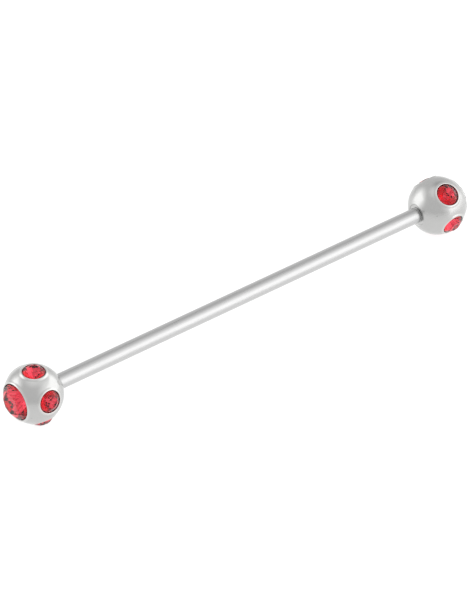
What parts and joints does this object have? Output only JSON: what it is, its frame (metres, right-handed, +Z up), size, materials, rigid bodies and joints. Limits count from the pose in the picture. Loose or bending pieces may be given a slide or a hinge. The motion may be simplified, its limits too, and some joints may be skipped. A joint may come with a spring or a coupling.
{
  "type": "industrial barbell",
  "caption": "Long straight barbell for an ear piercing: a slim steel bar with a removable ball on each end, set all round with red faceted glass stones.",
  "frame": {"origin": "centre of the bounding box at its bottom, on the surface that the barbell lies on", "axes": "+X along the bar from the left ball to the right ball, +Z up, the picture's view is from -X -Y above"},
  "size_m": [0.0574, 0.0063, 0.0063],
  "materials": {
    "bar_steel": "polished surgical steel, bright and smooth",
    "ball_steel": "polished surgical steel with fine polishing lines and burnished stone rims",
    "red_glass": "cut, foil-backed red glass, polished"
  },
  "bodies": {
    "bar": {"bar": "bar_steel"},
    "left_end": {"left_ball": "ball_steel", "left_end_stone": "red_glass", "left_side_stone_1": "red_glass", "left_side_stone_2": "red_glass", "left_side_stone_3": "red_glass", "left_side_stone_4": "red_glass", "left_side_stone_5": "red_glass"},
    "right_end": {"right_ball": "ball_steel", "right_end_stone": "red_glass", "right_side_stone_1": "red_glass", "right_side_stone_2": "red_glass", "right_side_stone_3": "red_glass", "right_side_stone_4": "red_glass", "right_side_stone_5": "red_glass"}
  },
  "joints": [
    {"name": "left_unscrew", "type": "slide", "parent": "bar", "child": "left_end", "axis": [-1, 0, 0], "range_m": [0, 0.008]},
    {"name": "right_unscrew", "type": "slide", "parent": "bar", "child": "right_end", "axis": [1, 0, 0], "range_m": [0, 0.008]}
  ]
}
